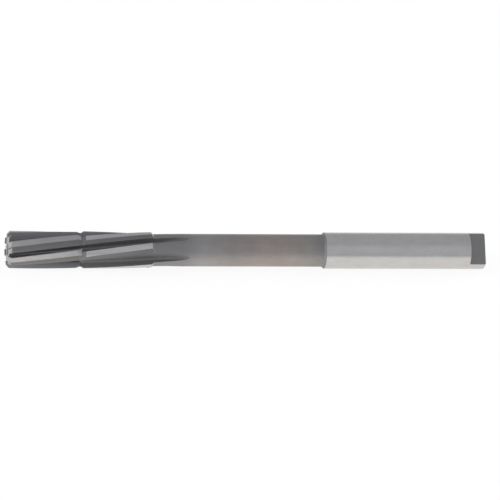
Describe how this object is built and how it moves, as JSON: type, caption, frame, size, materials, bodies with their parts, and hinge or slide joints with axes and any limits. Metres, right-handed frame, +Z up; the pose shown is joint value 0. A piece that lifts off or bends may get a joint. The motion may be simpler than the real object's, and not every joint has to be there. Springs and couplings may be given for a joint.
{
  "type": "machine reamer",
  "caption": "Straight-shank machine reamer with brazed hard-metal tips, left-hand helical flutes, a thinner neck and a flatted driving tang; it finishes drilled holes to size.",
  "frame": {"origin": "on the tool axis, where the full shank begins behind its front chamfer", "axes": "+X along the tool axis from the cutting end to the tang, +Z up as the tool lies, rolled so that the tang's flats lean as in the picture"},
  "size_m": [0.1329, 0.0101, 0.0102],
  "materials": {
    "tool_steel": "ground shank and lands, duller milled flutes, neck and tang flats",
    "hard_metal": "ground, slightly blue-grey",
    "braze": "ground flush, dull gold"
  },
  "bodies": {
    "root": {"reamer_body": "tool_steel", "carbide_tip_1": "hard_metal", "carbide_tip_2": "hard_metal", "carbide_tip_3": "hard_metal", "carbide_tip_4": "hard_metal", "carbide_tip_5": "hard_metal", "carbide_tip_6": "hard_metal", "braze_seam_1": "braze", "braze_seam_2": "braze", "braze_seam_3": "braze", "braze_seam_4": "braze", "braze_seam_5": "braze", "braze_seam_6": "braze"}
  },
  "joints": []
}
